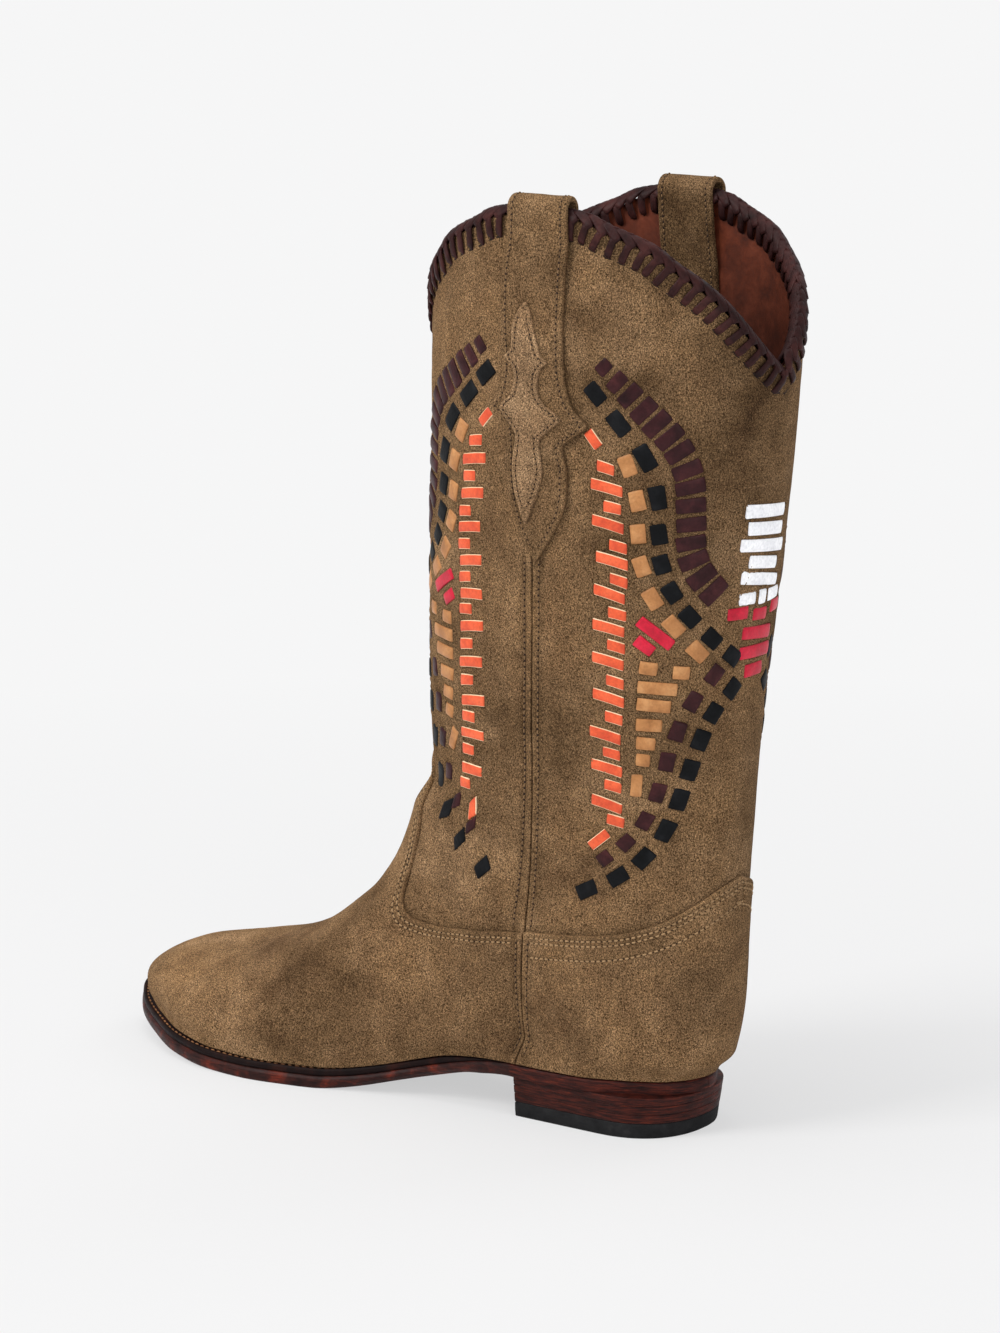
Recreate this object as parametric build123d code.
from build123d import *
import os
import numpy as np

# Left cowboy boot. Toe points to -X, lateral side faces -Y, +Z is up, and the
# origin lies on the floor under the heel. All sizes are in millimetres.
#
# The upper is laid out in (u, v). u runs once around the boot: 0 back centre,
# .25 lateral seam, .5 front centre, .75 medial seam. v runs from 0 at the sole
# to 1 at the ankle ring, then grows by 1 for every 100 mm of height.

# ------------------------------------------------------------ driving sizes
SOLE_LEN = 271.8
BACK_X = 30.0          # back end of the outsole
TOE_SPRING = 10.0
SEAT_Z = 21.2          # top of the outsole at the heel
OUTSOLE_T = 5.0
WELT_T = 3.0
HEEL_MARGIN = 1.2      # outsole edge to the foot of the upper, at the heel
TOE_MARGIN = 3.5       # the same at the toe
RING_Z = 150.0         # ankle ring, plain shaft sections start here
SEAM_X = -37.0         # where the side seams meet the sole
SHAFT_T = 1.6          # shaft suede
FOOT_T = 1.4           # vamp and counter suede
LINING_T = 0.9
TOP_PIECE_T = 6.0      # rubber top piece of the heel
HEEL_LEN = 66.4
HEEL_FRONT_X = 26.9 - HEEL_LEN
HEEL_HALF_W = 28.3
HEEL_TAPER = .147      # heel back slope, mm per mm of height
STRAP_T = 1.9          # pull strap thickness
RIM_SIDE = 346.5       # collar height at the side seams
RIM_DIP = 288.0        # collar height at the front and back centre
TIP_X = BACK_X - SOLE_LEN + TOE_MARGIN
SEAMS = {'lateral': .25, 'medial': .75}

nodes = {}             # piece name -> shape


# ------------------------------------------------------------ curves
def natural_spline(xk, yk):
    n = len(xk)
    h = np.diff(xk)
    A = np.zeros((n, n))
    rhs = np.zeros(n)
    A[0, 0] = A[-1, -1] = 1
    for i in range(1, n-1):
        A[i, i-1] = h[i-1]
        A[i, i] = 2*(h[i-1]+h[i])
        A[i, i+1] = h[i]
        rhs[i] = 6*((yk[i+1]-yk[i])/h[i] - (yk[i]-yk[i-1])/h[i-1])
    m = np.linalg.solve(A, rhs)

    def curve(x):
        x = np.clip(np.asarray(x, float), xk[0], xk[-1])
        i = np.clip(np.searchsorted(xk, x)-1, 0, n-2)
        d = x-xk[i]
        hi = h[i]
        return (yk[i] + d*((yk[i+1]-yk[i])/hi - hi*(2*m[i]+m[i+1])/6)
                + d*d*m[i]/2 + d**3*(m[i+1]-m[i])/(6*hi))
    return curve


def monotone(xk, yk):
    """monotone cubic (Fritsch-Carlson)"""
    xk = np.asarray(xk, float)
    yk = np.asarray(yk, float)
    h = np.diff(xk)
    d = np.diff(yk)/h
    m = np.zeros(len(xk))
    m[0] = d[0]
    m[-1] = d[-1]
    for i in range(1, len(xk)-1):
        if d[i-1]*d[i] > 0:
            w1 = 2*h[i]+h[i-1]
            w2 = h[i]+2*h[i-1]
            m[i] = (w1+w2)/(w1/d[i-1]+w2/d[i])

    def curve(x):
        x = np.clip(np.asarray(x, float), xk[0], xk[-1])
        i = np.clip(np.searchsorted(xk, x)-1, 0, len(xk)-2)
        t = (x-xk[i])/h[i]
        t2 = t*t
        t3 = t2*t
        return ((2*t3-3*t2+1)*yk[i] + (t3-2*t2+t)*h[i]*m[i]
                + (-2*t3+3*t2)*yk[i+1] + (t3-t2)*h[i]*m[i+1])
    return curve


def smooth(x):
    """smoothstep from 0 to 1"""
    x = np.clip(x, 0, 1)
    return x*x*(3-2*x)


def cosine_steps(n):
    """0..1, crowded at both ends"""
    return (1-np.cos(np.pi*np.linspace(0, 1, n)))/2


# ------------------------------------------------------------ leg sections
# z, front x, back x, half width
LEG = np.array([
    (10, -46, 31.5, 28), (21, -50, 33, 28.8), (32, -55, 36.2, 29.7), (45, -61, 38.8, 30.7),
    (60, -68, 40, 31.5), (80, -76.5, 40.7, 32.9), (100, -83.8, 42, 35.1),
    (130, -90, 43.5, 38.8), (170, -90.8, 46.5, 42.1), (210, -89.6, 51, 46),
    (250, -88.1, 55, 49.3), (290, -86.9, 58, 50.7), (330, -86.9, 57.5, 50.2),
    (365, -87.5, 54.5, 49)]).T
LEG_POWER = 2.25       # superellipse exponent
leg_front, leg_back, leg_half = [natural_spline(LEG[0], column) for column in LEG[1:]]


def leg(z):
    """centre x and half sizes along x and y"""
    return (leg_back(z)+leg_front(z))/2, (leg_back(z)-leg_front(z))/2, leg_half(z)


# ------------------------------------------------------------ foot plan and profile
# fraction of the sole length from the heel, lateral and medial half widths
PLAN = np.array([
    (0, 0, 0), (.03, 17, 17), (.08, 25, 25), (.15, 30.5, 29), (.22, 31, 29), (.30, 30, 25),
    (.40, 31, 22.5), (.50, 38, 27), (.60, 46, 38), (.68, 49, 43.5), (.75, 48, 44),
    (.83, 42, 40), (.90, 31, 33), (.95, 21, 24), (.98, 12, 15), (1, 0, 0)]).T
PLAN_SCALE = 1.022


def half_width(column):
    """half width against sole fraction, with round ends"""
    def stretch(t):
        return np.arccos(1-2*np.clip(t, 0, 1))/np.pi
    curve = monotone(stretch(PLAN[0]), column*PLAN_SCALE)
    return lambda t: curve(stretch(t))


half_lateral, half_medial = half_width(PLAN[1]), half_width(PLAN[2])


def sole_fraction(x):
    return (BACK_X-x)/SOLE_LEN


def centre_y(t):
    return -2.28*np.clip((t-.6)/.4, 0, 1)**1.5


def tread_z(x):
    """underside of the outsole: heel rise, shank slope and toe spring"""
    rise = (SEAT_Z-OUTSOLE_T)*(1-smooth((-38.0-x)/88.0))
    return rise + TOE_SPRING*np.clip((sole_fraction(x)-.68)/.32, 0, 1)**2


def outsole_top(x):
    return tread_z(x)+OUTSOLE_T


def feather_z(x):
    """top of the welt, where the upper meets the sole"""
    return outsole_top(x) + WELT_T*smooth((-40.0-x)/35.0)


def margin(x):
    return HEEL_MARGIN + (TOE_MARGIN-HEEL_MARGIN)*smooth((-60.0-x)/70.0)


# height of the foot ridge against x
ridge_z = monotone([-236, -228, -215, -200, -180, -160, -140, -120, -105, -95, -85, -70, -40],
                   [28.5, 33, 37, 40, 44, 49.5, 58.5, 74, 90, 102, 113, 120, 120])


# ------------------------------------------------------------ implicit body
def foot_distance(x, y, z):
    back = BACK_X-2.0
    along = np.clip((back-x)/(back-TIP_X), 0.0, 1.0)
    from_centre = y-centre_y(np.clip(sole_fraction(x), 0.0, 1.0))
    inset = margin(x)-1.0
    half = np.where(from_centre < 0, np.maximum(half_lateral(along)-inset, 0.3),
                    np.maximum(half_medial(along)-inset, 0.3))
    # widest level, a third of the way up, and the ridge rounded off at the toe
    base = feather_z(x)
    top = ridge_z(x)
    mid = base+0.33*(top-base)
    toe = np.clip((x-TIP_X)/34.0, 0, 1)
    top = mid+(top-mid)*np.sqrt(np.clip(1-(1-toe)**2.4, 1e-4, 1))
    up = np.clip((z-mid)/np.maximum(top-mid, 1.0), 0, None)
    down = np.clip((mid-z)/np.maximum(mid-base, 1.0), 0, 1.6)
    tuck = 1.6+1.5*smooth((-150-x)/60)      # draws the sides in towards the sole
    tucked = np.maximum(half-tuck*down**2+tuck*0.6, 0.3)
    power = 2.15
    rho = ((np.abs(from_centre)/tucked)**power+up**2.0)**(1/power)
    distance = (rho-1)*np.minimum(half, np.maximum(top-mid, 1.0))
    # past the tip, and fading the foot out towards the heel and up the leg
    return (distance + np.maximum(TIP_X-x, 0) + 30*smooth((x+62)/60.0)
            + 40*smooth((z-112)/36.0))


def leg_distance(x, y, z):
    c, a, b = leg(z)
    rho = ((np.abs(x-c)/a)**LEG_POWER+(np.abs(y)/b)**LEG_POWER)**(1/LEG_POWER)
    return (rho-1)*np.minimum(a, b)


def body_distance(P):
    """leg and foot in a smooth union, whose blend widens with height"""
    x, y, z = P[..., 0], P[..., 1], P[..., 2]
    to_leg = leg_distance(x, y, z)
    to_foot = foot_distance(x, y, z)
    k = 6+20*smooth((z-35)/50.0)
    h = np.clip(.5+.5*(to_foot-to_leg)/k, 0, 1)
    return to_foot*(1-h)+to_leg*h-k*h*(1-h)


def body_gradient(P, step=5e-2):
    return np.stack([(body_distance(P+axis)-body_distance(P-axis))/(2*step)
                     for axis in np.eye(3)*step], -1)


# ------------------------------------------------------------ feather line
def feather_side(half, sign):
    """u, x and y along one side; u = .25 falls at SEAM_X"""
    t = cosine_steps(4001)
    back = BACK_X-HEEL_MARGIN
    x = back-t*(back-TIP_X)
    inset = margin(x)*np.minimum(1, np.sin(np.pi*np.clip(t, 0, 1))*6)
    y = centre_y(sole_fraction(x)) + sign*np.maximum(half(t)-inset, 0)
    run = np.r_[0, np.cumsum(np.hypot(np.diff(x), np.diff(y)))]
    seam = run[np.argmin(np.abs(x-SEAM_X))]
    u = np.where(run <= seam, 0.25*run/seam, 0.25+0.25*((run-seam)/(run[-1]-seam)))
    return u, x, y


FEATHER_LATERAL = feather_side(half_lateral, -1)
FEATHER_MEDIAL = feather_side(half_medial, 1)


def feather(u):
    u = np.mod(u, 1.0)
    lateral = u <= .5
    folded = np.where(lateral, u, 1-u)
    x, y = [np.where(lateral, np.interp(folded, FEATHER_LATERAL[0], FEATHER_LATERAL[k]),
                     np.interp(folded, FEATHER_MEDIAL[0], FEATHER_MEDIAL[k])) for k in (1, 2)]
    return np.stack([x, y, feather_z(x)], -1)


# ------------------------------------------------------------ surface of the upper
def shaft_point(u, z):
    c, a, b = leg(z)
    th = np.arctan2(b*np.sin(2*np.pi*u), a*np.cos(2*np.pi*u))
    r = (np.abs(np.cos(th)/a)**LEG_POWER+np.abs(np.sin(th)/b)**LEG_POWER)**(-1/LEG_POWER)
    return np.stack([c+r*np.cos(th), -r*np.sin(th), z+0*r], -1)


def foot_point(u, v):
    """Bezier guide from feather line to ankle ring, drawn onto the body"""
    t = v[..., None]
    foot = feather(u)
    ring = shaft_point(u, np.full_like(u, RING_Z))
    height = RING_Z-foot[..., 2]
    s = smooth((-foot[..., 0]-35)/150.0)    # 0 under the leg, 1 towards the toe
    low = foot.copy()
    low[..., 2] += height*(.333*(1-s)+.30*s)
    low[..., 0] += s*14*np.abs(np.cos(2*np.pi*u))
    low[..., 1] *= 1+.10*s
    high = ring.copy()
    high[..., 2] -= height*(.333*(1-s)+.72*s)
    guide = (1-t)**3*foot+3*(1-t)**2*t*low+3*(1-t)*t*t*high+t**3*ring
    P = guide.copy()
    for _ in range(12):
        g = body_gradient(P)
        step = np.clip(-(body_distance(P)/np.maximum((g*g).sum(-1), 1e-3)), -8, 8)
        P = P+g*step[..., None]*.9
    # pin the lower edge to the feather line
    w = smooth(t/0.08)
    return P*w+guide*(1-w)


# foot points on a grid, with one extrapolated row at either end of v
GRID_U, GRID_V = 600, 141
_u, _v = np.meshgrid(np.arange(GRID_U)/GRID_U,
                     np.minimum(np.linspace(0, 1, GRID_V), .999999), indexing='ij')
GRID = foot_point(_u, _v)
GRID = np.concatenate([2*GRID[:, :1]-GRID[:, 1:2], GRID, 2*GRID[:, -1:]-GRID[:, -2:-1]], 1)


def catmull_rom(t):
    return np.stack([-.5*t+t*t-.5*t**3, 1-2.5*t*t+1.5*t**3,
                     .5*t+2*t*t-1.5*t**3, -.5*t*t+.5*t**3], -1)


def surface(u, v):
    u, v = np.broadcast_arrays(np.asarray(u, float), np.asarray(v, float))
    P = shaft_point(u, RING_Z+(np.maximum(v, 1.0)-1)*100)
    low = v < 1
    if low.any():
        a = np.mod(u[low], 1)*GRID_U
        b = np.clip(v[low], 0, 1)*(GRID_V-1)
        i = np.floor(a).astype(int)
        j = np.minimum(np.floor(b).astype(int), GRID_V-2)
        cols = (i[:, None]+np.arange(-1, 3)) % GRID_U
        rows = j[:, None]+np.arange(0, 4)
        P[low] = np.einsum('na,nb,nabk->nk', catmull_rom(a-i), catmull_rom(b-j),
                           GRID[cols[:, :, None], rows[:, None, :]])
    return P


def normal(u, v, e=2e-3):
    """outward unit normal"""
    a = surface(u+e, v)-surface(u-e, v)
    b = surface(u, v+e)-surface(u, np.maximum(np.asarray(v, float)-e, 0))
    n = np.cross(a, b)
    n /= np.linalg.norm(n, axis=-1)[..., None]
    return -n


def lifted(u, v, distance):
    return surface(u, v)+normal(u, v)*distance


def z_to_v(z):
    return 1+(z-RING_Z)/100.0


# ------------------------------------------------------------ edge lines of the panels
def fold(u):
    """distance in u from the back centre, 0..0.5"""
    u = np.mod(u, 1.0)
    return np.where(u <= .5, u, 1-u)


rim_curve = monotone(
    [0, .0225, .0495, .0715, .0925, .1115, .1315, .1505, .167, .186, .2055, .25],
    [RIM_DIP, 293, 300.8, 308.5, 316, 321.8, 327.2, 333.3, 336.5, 339.7, 343.5, RIM_SIDE])
counter_curve = monotone(
    [0, .0335, .0555, .0745, .093, .1125, .1325, .1645, .1985, .2345, .26],
    [.618, .590, .557, .525, .495, .473, .455, .438, .427, .417, .41])
vamp_curve = monotone(
    [0, .04, .07, .088, .098, .104, .108, .1115, .117, .125, .134, .144, .164, .1855, .207,
     .226, .25],
    [.955, .945, .925, .895, .86, .825, .785, .745, .70, .65, .615, .58, .522, .468, .428,
     .407, .407])


def rim_z(u):
    f = fold(u)
    return rim_curve(np.where(f > .25, .5-f, f))


def rim_v(u):
    return z_to_v(rim_z(u))


def counter_edge(u):
    return counter_curve(fold(u))


def vamp_edge(u):
    return vamp_curve(.5-fold(u))


# ------------------------------------------------------------ solids from point grids
def vectors(P):
    return [Vector(*map(float, p)) for p in P]


def patch(outer, inner):
    """closed leather piece between two point grids: two skins and ruled edges"""
    skins = [Face.make_surface_from_array_of_points([vectors(row) for row in grid], tol=.05,
                                                    smoothing=(1, 1, 1), max_deg=6)
             for grid in (outer, inner)]
    rest = list(skins[1].edges())
    sides = []
    for edge in skins[0].edges():
        middle = edge@.5
        facing = min(rest, key=lambda q: (q@.5-middle).length)
        rest.remove(facing)
        sides.append(Face.make_surface_from_curves(edge, facing))
    solid = Solid(Shell(skins+sides))
    return solid if solid.volume > 0 else Solid(solid.wrapped.Reversed())


def panel(us, low, high, outer, inner, rows):
    """panel around the boot between the edges low(u) and high(u)"""
    A = np.array([float(low(u)) for u in us])
    B = np.array([float(high(u)) for u in us])
    V = A[:, None]+(B-A)[:, None]*np.linspace(0, 1, rows)[None]
    U = us[:, None]+0*V
    return patch(lifted(U, V, outer), lifted(U, V, inner))


def ribbon(stations, count):
    """strip up the boot from stations (u from, u to, v, outer, inner)"""
    A = []
    B = []
    for u0, u1, v, outer, inner in stations:
        u = u0+(u1-u0)*np.linspace(0, 1, count)
        A.append(lifted(u, v, outer))
        B.append(lifted(u, v, inner))
    return patch(np.array(A), np.array(B))


# ------------------------------------------------------------ upper panels
SEAM_GAP = .0008       # half gap at the side seams, in u
LAP = .075             # shaft runs this far down under counter and vamp, in v
LOW_V = .010           # lower edge of counter and vamp
INNER_V = LOW_V+.004   # lower edge of the parts inside them
FOOT_LIFT = .05        # counter and vamp above the surface
FOOT_TOP = FOOT_LIFT+FOOT_T
LINING_OUT = -SHAFT_T-.5
LINING_IN = LINING_OUT-LINING_T
back_us = np.linspace(-.25+SEAM_GAP, .25-SEAM_GAP, 37)
front_us = np.linspace(.25+SEAM_GAP, .75-SEAM_GAP, 43)

# name, stations, edge shared with the foot, grid rows of shaft, foot and both linings
for end, foot_name, us, edge, n_shaft, n_foot, n_foot_lining in (
        ('back', 'counter', back_us, counter_edge, 18, 10, 8),
        ('front', 'vamp', front_us, vamp_edge, 18, 14, 12)):
    nodes[end+'_shaft_panel'] = panel(us, lambda u: edge(u)-LAP, rim_v, 0.0, -SHAFT_T, n_shaft)
    nodes[foot_name] = panel(us, lambda u: LOW_V, edge, FOOT_TOP, FOOT_LIFT, n_foot)
    nodes[end+'_lining'] = panel(us, lambda u: edge(u)+.006, lambda u: rim_v(u)-.002,
                                 LINING_OUT, LINING_IN, 14)
    nodes[foot_name+'_lining'] = panel(us, lambda u: INNER_V, edge,
                                       LINING_OUT, LINING_IN, n_foot_lining)
nodes['heel_stiffener'] = panel(np.linspace(-.235, .235, 25), lambda u: INNER_V,
                                lambda u: counter_edge(u)-LAP-.012, -.05, -1.5, 8)
nodes['toe_puff'] = panel(np.linspace(.415, .585, 17), lambda u: INNER_V,
                          lambda u: .20+.06*np.cos((u-.5)*18), -.05, -1.2, 8)
TAPE_HALF = 6.0/390    # 6 mm of a 390 mm girth, in u
for side, seam in SEAMS.items():
    nodes['side_seam_tape_'+side] = ribbon(
        [(seam-TAPE_HALF, seam+TAPE_HALF, v, -SHAFT_T-.05, -SHAFT_T-.42)
         for v in np.linspace(.42, z_to_v(336), 14)], 7)

# ------------------------------------------------------------ collar lacing
# section over the rim: offset from the surface, height above the rim
COLLAR_OUTER = [(1.25, -6.4), (1.3, -3), (1.3, .4), (.9, 2.2), (-.2, 3.5), (-1.5, 3.9),
                (-2.8, 3.5), (-3.9, 2.2), (-4.3, .4), (-4.3, -3), (-4.25, -6.4)]
COLLAR_INNER = [(.06, -6.4), (.06, -3), (.06, -.6), (.02, .2), (-.6, .45), (-1.5, .5),
                (-2.4, .45), (-3.04, .2), (-3.08, -.6), (-3.08, -3), (-3.08, -6.4)]


def collar_skin(us, section_points):
    offsets, rises = np.array(section_points).T
    return np.array([lifted(u, z_to_v(rim_z(u)+rises), offsets[:, None]) for u in us])


for end, us in (('back', np.linspace(-.2488, .2488, 31)),
                ('front', np.linspace(.2512, .7488, 31))):
    nodes['collar_lacing_'+end] = patch(collar_skin(us, COLLAR_OUTER),
                                        collar_skin(us, COLLAR_INNER))

# ------------------------------------------------------------ pull straps
# reach from the side seam, in u, against z: towards the heel and towards the toe
STRAP_EDGES = (
    monotone([219.5, 222, 226, 231, 238, 245.5, 253, 258, 262.5, 265, 268.2, 270.8, 275, 280,
              287.5, 294.5, 303.5, 312.5, 321.5, 330, 336, 347],
             [.0060, .0100, .0160, .0228, .0302, .0333, .0333, .0305, .0284, .0335, .0432,
              .0495, .0402, .0328, .0282, .0267, .0260, .0267, .0284, .0312, .0328, .0330]),
    monotone([219.5, 222, 225, 231.5, 238.5, 247, 254, 260.5, 268, 271.5, 273.5, 275.5, 279.5,
              286, 293.5, 301.5, 310.5, 319.5, 328.5, 336, 347],
             [-.0038, -.0008, .0040, .0115, .0182, .0227, .0242, .0243, .0260, .0300, .0360,
              .0425, .0355, .0312, .0304, .0322, .0330, .0316, .0280, .0238, .0225]))
OVERLAY_EDGES = (
    monotone([233.7, 236, 240.5, 247.5, 254, 259.5, 264.5, 268.8, 273, 277.5, 282, 286.5,
              290.5, 293, 295.5, 301, 306, 311, 314.2],
             [-.0024, .0002, .0042, .0102, .0125, .0102, .0089, .0185, .0280, .0132, .0067,
              .0060, .0087, .0142, .0085, .0042, .0008, -.0018, -.0056]),
    monotone([233.7, 236, 241, 248, 254.5, 260, 265.5, 271.5, 275.5, 281, 286.5, 291, 294.2,
              297.5, 304.5, 310, 314.2],
             [.0042, .0066, .0108, .0152, .0168, .0154, .0140, .0235, .0305, .0192, .0168,
              .0190, .0262, .0200, .0196, .0150, .0078]))
STRAP_ZS = [219.5, 221, 223.5, 227, 232, 238, 245, 252, 258, 262.5, 265.5, 268.2, 269.8, 270.8,
            272.2, 273.8, 275.5, 277.5, 280, 284, 289.5, 295, 302, 308, 316, 324, 332, 340, 346]
STRAP_INNER_ZS = [346, 340, 332, 322, 312, 302, 292, 282, 272]
OVERLAY_ZS = [233.7, 235, 238, 243, 248, 254, 259.5, 264.5, 267, 269, 271, 273, 275.5, 278, 281,
              285, 289, 291.5, 293, 294.4, 297, 301, 306, 311, 314.2]
OVERLAY_T = 1.2
LOOP_Z = 347.5         # where the strap turns over the rim
LOOP_AXIS = -1.55      # offset of the loop centre from the surface
LOOP_R = 3.22          # inner radius of the loop
LOOP_STRETCH = 1.05    # loop height over its width


def seam_span(seam, edges, z):
    heelward, toeward = [float(edge(z)) for edge in edges]
    return (seam-heelward, seam+toeward) if seam < .5 else (seam-toeward, seam+heelward)


def swell(z):
    """0..1 where the strap moves out to clear the collar"""
    return float(smooth((z-312)/24.0))


def strap_base(z):
    return .12+1.55*swell(z)


def strap(seam):
    """up the outside, over the rim and down the inside"""
    A = []
    B = []
    for z in STRAP_ZS:
        u = np.linspace(*seam_span(seam, STRAP_EDGES, z), 7)
        A.append(lifted(u, z_to_v(z), strap_base(z)+STRAP_T))
        B.append(lifted(u, z_to_v(z), strap_base(z)))
    u = np.linspace(*seam_span(seam, STRAP_EDGES, LOOP_Z), 7)
    for degrees in (22, 45, 68, 90, 112, 135, 158):
        a = np.radians(degrees)
        for skin, r in ((A, LOOP_R+STRAP_T), (B, LOOP_R)):
            P = lifted(u, z_to_v(LOOP_Z), LOOP_AXIS+r*np.cos(a))
            P[:, 2] += r*np.sin(a)*LOOP_STRETCH
            skin.append(P)
    for z in STRAP_INNER_ZS:
        inside = -3.12-1.65*swell(z)
        A.append(lifted(u, z_to_v(z), inside-STRAP_T))
        B.append(lifted(u, z_to_v(z), inside))
    return patch(np.array(A), np.array(B))


def strap_overlay(seam):
    stations = []
    for z in OVERLAY_ZS:
        base = strap_base(z)+STRAP_T+.08
        stations.append((*seam_span(seam, OVERLAY_EDGES, z), z_to_v(z), base+OVERLAY_T, base))
    return ribbon(stations, 5)


for side, seam in SEAMS.items():
    nodes['pull_strap_'+side] = strap(seam)
    nodes['strap_overlay_'+side] = strap_overlay(seam)

# ------------------------------------------------------------ coloured leather strips
# u, v, length, width, angle in degrees from the +u direction
STRIPS = {
    'plum': [
        (.1885,2.425,6.2,4.8,-45), (.177,2.373,8.2,5,-46), (.166,2.328,9.6,5.1,-47),
        (.154,2.275,10.4,5.6,-46), (.1425,2.228,11,5.4,-46), (.131,2.18,11,5.2,-42),
        (.1215,2.127,11,5.5,-32), (.1135,2.06,11,5.5,-22), (.1095,1.998,11,5.2,-11),
        (.108,1.93,11,5.4,-7), (.1065,1.86,11,5.4,-7), (.1055,1.792,11,5.2,-10),
        (.102,1.728,11,5.4,-23), (.0925,1.665,11,5.8,-37), (.078,1.61,11,5.9,-43),
        (.069,1.292,7.3,5.6,-54), (.093,1.195,7.2,5.6,-61), (.108,1.083,7.2,5.6,-72),
        (.118,.975,7.1,5.6,-78), (.1255,.883,7,5.6,-79), (.135,.797,6.4,5.6,-70),
        (.1505,.728,5.8,5.6,-54), (.1695,.675,5.04,5.6,-46)],
    'black': [
        (.195,2.328,8.7,6,47), (.1745,2.225,9.4,6,48), (.151,2.103,9.8,6,58),
        (.1385,1.958,9,6,75), (.136,1.823,7.7,6,81), (.1325,1.712,7,6,72),
        (.1215,1.607,7.3,6,57), (.1025,1.515,7.6,6,46), (.076,1.43,7.6,6,40),
        (.0455,1.357,7.4,6,37), (.0405,1.232,7.3,6.2,-50), (.0665,1.147,7.1,6.2,-59),
        (.081,1.048,7.4,6.2,-71), (.0925,.95,7.6,6.2,-76), (.1015,.863,7.8,6.2,-78),
        (.112,.77,7.9,6.2,-72), (.1295,.685,7.4,6.2,-57), (.1525,.623,7.5,6.2,-39),
        (.183,.573,8.1,6.2,-31)],
    'tan': [
        (.1655,2.072,7.9,5.6,69), (.156,1.945,7.5,5.6,76), (.154,1.823,7.1,5.6,80),
        (.15,1.703,7.3,5.6,72), (.139,1.583,7.7,5.6,57), (.118,1.48,8,5.6,47),
        (.0915,1.383,8.1,5.6,44), (.13,1.245,14.5,4.6,4), (.133,1.18,12.4,4.6,4),
        (.137,1.105,9.5,4.6,4), (.1395,1.035,7,4.6,4), (.142,.978,5.2,4.6,4),
        (.14,1.32,6.5,4.8,4), (.1075,1.305,6,4.8,4), (.147,.902,8.5,4.2,-90)],
    'orange': [
        (.1955,2.163,7,3.9,50), (.184,2.06,6.8,4.2,13), (.1825,1.988,12.4,4.2,13),
        (.177,1.915,6.8,4.2,13), (.1805,1.853,12.4,4.2,13), (.171,1.772,6.8,4.2,13),
        (.176,1.718,12.4,4.2,13), (.1695,1.645,6.8,4.2,13), (.1775,1.593,12.4,4.2,13),
        (.17,1.52,6.8,4.2,13), (.1775,1.465,12.4,4.2,13), (.17,1.397,6.8,4.2,13),
        (.177,1.34,12.4,4.2,13), (.17,1.262,6.8,4.2,13), (.1755,1.2,12.4,4.2,13),
        (.17,1.125,6.8,4.2,13), (.1775,1.058,12.4,4.2,13), (.1715,.993,6.8,4.2,13),
        (.176,.948,12.4,4.2,13), (.1695,.895,6.8,4.2,13), (.174,.84,12.4,4.2,13),
        (.164,.792,6.8,4.2,13), (.178,.73,8.5,4.2,-45)],
    'red': [
        (.1345,1.453,15.5,4.4,36), (.1445,1.405,7.6,4.4,36), (.0425,1.515,9.5,4.6,0),
        (0,1.43,18,4.8,0), (0,1.36,19,4.8,0), (0,1.29,11,4.8,0), (0,1.5,9,4.6,0)],
    'white': [
        (.004,1.885,25,4.9,6), (.003,1.82,22,4.9,6), (.004,1.757,27,4.7,6),
        (.003,1.694,18,4.7,6), (.004,1.632,23.5,4.7,6), (.029,1.566,9,4.6,3),
        (0,1.564,5.5,4.8,90)],
}
STRIP_T = .9
STRIP_LIFT = .25
CENTRE_U = .012        # strips nearer the centre line than this aren't mirrored
PLUM_FRONT_WIDTH = .86  # plum strips are narrower on the front


def v_at(u, z):
    """v of the point of line u at height z"""
    if z >= RING_Z:
        return z_to_v(z)
    vs = np.linspace(0, 1, 400)
    return float(np.interp(z, surface(u, vs)[:, 2], vs))


def front_place(u, z, angle):
    """the front pattern mirrors the back one, but rides higher and is turned"""
    d = .25-u
    rise = 5.7+90*(min(d, .16)-.066)
    share = float(np.interp(z, [95, 101.5, 110, 116, 124, 132, 143, 170, 230, 292],
                            [.38, .6, .66, .62, .71, .78, .86, 1, 1, .8]))
    shift = -.006 if .2 < d < .215 else 0.0
    if d < .15:
        shift = float(np.interp(z, [95, 101.5, 109.5, 116, 300],
                                [-.028, -.0236, -.0158, -.005, -.003]))
    turn = 0.0
    if d < .2:
        turn = float(np.interp(z, [95, 120, 132, 145, 165, 300], [28, 32, 28, 14, 6, 5]))
    return u-shift, z+rise*share, turn-angle


def strip(u, z, length, width, angle):
    v = np.array([v_at(u, z)])
    u = np.array([u])
    P = surface(u, v)[0]
    n = normal(u, v)[0]
    around = surface(u+1e-3, v)[0]-P
    around -= n*np.dot(around, n)
    around /= np.linalg.norm(around)
    up = np.cross(n, around)
    if up[2] < 0:
        up = -up
    along = around*np.cos(np.radians(angle))+up*np.sin(np.radians(angle))
    corner = P+n*STRIP_LIFT-along*length/2-np.cross(n, along)*width/2
    frame = Plane(origin=tuple(corner), x_dir=tuple(along), z_dir=tuple(n))
    return Solid.make_box(length, width, STRIP_T, frame)


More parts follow.
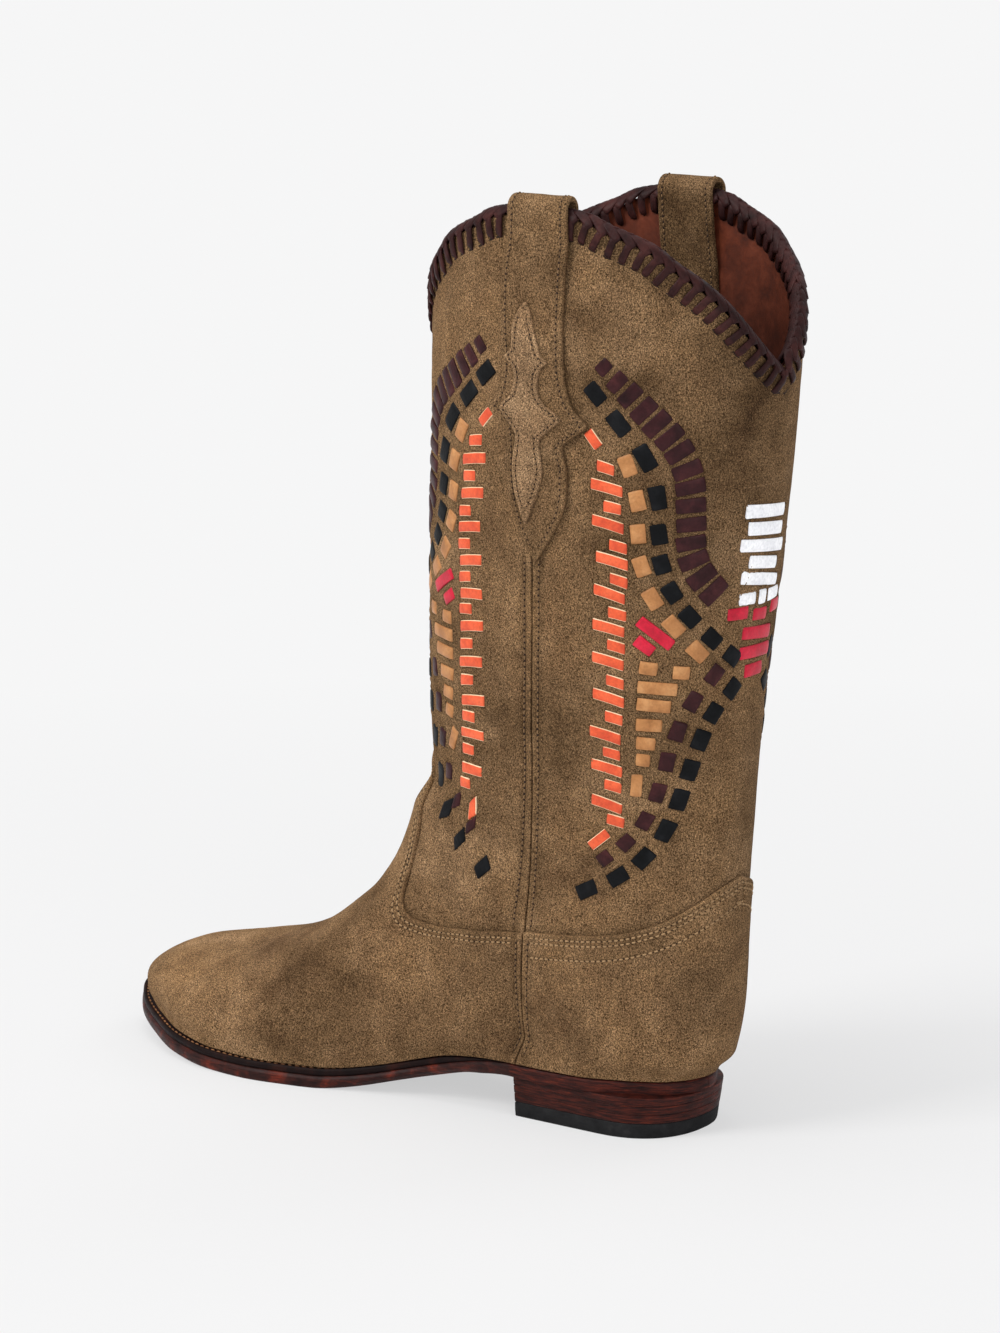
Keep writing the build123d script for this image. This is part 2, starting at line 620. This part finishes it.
for colour, table in STRIPS.items():
    back = []
    front = []
    front_scale = PLUM_FRONT_WIDTH if colour == 'plum' else 1
    for u, v, length, width, angle in table:
        z = float(surface([u], [v])[0, 2])
        front_u, front_z, front_angle = front_place(u, z, angle)
        for sign in ((1, -1) if abs(u) > CENTRE_U else (1,)):
            back.append(strip(sign*u, z, length, width, sign*angle))
            front.append(strip(.5-sign*front_u, front_z, length, width*front_scale,
                               sign*front_angle))
    nodes[colour+'_strips_back'] = Compound(children=back)
    nodes[colour+'_strips_front'] = Compound(children=front)


# ------------------------------------------------------------ sole
def sole_column(inset):
    """tall prism over the sole plan, inset all round by a number or by inset(x)"""
    t = cosine_steps(60)
    x = BACK_X-t*SOLE_LEN
    lateral = np.stack([x, centre_y(t)-half_lateral(t)], -1)
    medial = np.stack([x, centre_y(t)+half_medial(t)], -1)
    loop = np.concatenate([lateral, medial[::-1][1:-1]])
    d = np.roll(loop, -1, 0)-np.roll(loop, 1, 0)
    outward = np.stack([-d[:, 1], d[:, 0]], -1)
    outward /= np.linalg.norm(outward, axis=1)[:, None]
    by = inset(loop[:, 0]) if callable(inset) else inset+0*loop[:, 0]
    loop = loop-outward*by[:, None]
    wire = Wire([Edge.make_spline(vectors(np.c_[loop, np.full(len(loop), -2.0)]),
                                  periodic=True)])
    return Solid.extrude(Face(wire), Vector(0, 0, 60))


def band(low, high, x_from, x_to, half=80):
    """side profile between low(x) and high(x), extruded across the sole"""
    x = np.linspace(x_from, x_to, 44)
    a, b = [vectors(np.stack([x, np.full(44, -half), f(x)], -1)) for f in (low, high)]
    wire = Wire([Edge.make_spline(a), Edge.make_line(a[-1], b[-1]),
                 Edge.make_spline(b[::-1]), Edge.make_line(b[0], a[0])])
    return Solid.extrude(Face(wire), Vector(0, 2*half, 0))


def above(surface_z, gap):
    return lambda x: surface_z(x)+gap


def inside_margin(extra):
    return lambda x: margin(x)+extra


def largest(shape):
    return max(shape.solids(), key=lambda q: q.volume)


BAND_BACK, BAND_FRONT = BACK_X+1, BACK_X-SOLE_LEN-1


def layer(low, high, inset, x_from=BAND_BACK):
    return largest(band(low, high, x_from, BAND_FRONT) & sole_column(inset))


NAILS = [(18, 0), (12, 15), (12, -15), (-6, 19), (-6, -19), (-24, 17), (-24, -17)]
NAIL_R = 1.1
NAIL_HOLE_R = 1.12


def nail_pins(r, z0, z1):
    return [Solid.make_cylinder(r, z1-z0, Plane(origin=(x, y, z0))) for x, y in NAILS]


def drilled(solid):
    for pin in nail_pins(NAIL_HOLE_R, -5, 60):
        solid = largest(solid-pin)
    return solid


nodes['outsole'] = drilled(layer(tread_z, outsole_top, 0.0))
nodes['welt'] = largest(
    (band(above(outsole_top, .02), above(feather_z, -.02), -62, BAND_FRONT) & sole_column(.4))
    - sole_column(inside_margin(5.5)))
nodes['insole'] = drilled(layer(above(feather_z, .03), above(feather_z, 2.4),
                                inside_margin(4.6)))
nodes['sock_liner'] = layer(above(feather_z, 2.45), above(feather_z, 3.5), inside_margin(5.4))
nodes['bottom_filler'] = layer(above(outsole_top, .03), above(feather_z, -.03),
                               inside_margin(6.0), x_from=-134)
nodes['shank'] = largest(band(above(outsole_top, .05), above(outsole_top, 1.3), -66, -128,
                              half=6.5))


# ------------------------------------------------------------ heel
def heel_section(z):
    """D shape, round at the back and flat at the front"""
    half = HEEL_HALF_W+z*HEEL_TAPER*.6
    a = np.linspace(-np.pi/2, np.pi/2, 25)
    power = 2.3
    x = BACK_X-(SEAT_Z-z)*HEEL_TAPER-half+half*np.abs(np.cos(a))**(2/power)
    y = half*np.sign(np.sin(a))*np.abs(np.sin(a))**(2/power)
    front = HEEL_FRONT_X
    xs = np.r_[front, (front+x[0])/2, x, (front+x[-1])/2, front]
    ys = np.r_[-half*.985, -half*.998, y, half*.998, half*.985]
    points = vectors(np.c_[xs, ys, np.full(len(xs), z)])
    return Wire([Edge.make_spline(points), Edge.make_line(points[-1], points[0])])


def heel_slice(z0, z1):
    return Solid.make_loft([heel_section(z0), heel_section(z1)])


nodes['heel_top_piece'] = heel_slice(0, TOP_PIECE_T-.01)
lift_zs = np.linspace(TOP_PIECE_T, SEAT_Z-OUTSOLE_T, 4)
nodes['heel_lift_1'] = heel_slice(lift_zs[0]+.01, lift_zs[1]-.01)
nodes['heel_lift_2'] = drilled(heel_slice(lift_zs[1]+.01, lift_zs[2]-.01))
nodes['heel_lift_3'] = drilled(heel_slice(lift_zs[2]+.01, lift_zs[3]-.06))
nodes['heel_nails'] = Compound(children=nail_pins(NAIL_R, lift_zs[1]+.5, SEAT_Z+2.3))


# ------------------------------------------------------------ thread rows
def thread(u, v, base, r=.30):
    """one row lying on the leather, square section with bevelled top"""
    P = lifted(u, v, base+.05)
    n = normal(u, v)
    run = np.gradient(P, axis=0)
    run /= np.linalg.norm(run, axis=1)[:, None]
    b = np.cross(run, n)
    b /= np.linalg.norm(b, axis=1)[:, None]
    corners = [P-b*r, P-b*r+n*r, P+n*2*r, P+b*r+n*r, P+b*r]
    return Solid.make_loft([Wire.make_polygon(vectors([c[k] for c in corners]), close=True)
                            for k in range(len(P))])


for side, seam in SEAMS.items():
    rows = []
    for du in (-2.6/380, 2.6/380):      # 2.6 mm of a 380 mm girth
        rows.append(thread(seam+du, np.linspace(.44, 1.66, 24), 0.0))
        rows.append(thread(seam+du, np.linspace(.03, .385, 10), FOOT_TOP))
    nodes['side_seam_thread_'+side] = Compound(children=rows)

counter_us = np.linspace(-.236, .236, 40)
nodes['counter_thread'] = Compound(children=[
    thread(counter_us, counter_edge(counter_us)-drop, FOOT_TOP) for drop in (.020, .036, .150)])

# u from the front centre
vamp_us = np.r_[np.linspace(-.236, -.14, 10), np.linspace(-.132, -.088, 10),
                np.linspace(-.075, .075, 9), np.linspace(.088, .132, 10),
                np.linspace(.14, .236, 10)]
nodes['vamp_thread'] = Compound(children=[
    thread(.5+vamp_us*(1+drop*.35), vamp_edge(.5+vamp_us)-drop, FOOT_TOP)
    for drop in (.020, .038)])

os.makedirs("parts", exist_ok=True)
for name, shape in nodes.items():
    export_step(shape, "parts/%s.step" % name)
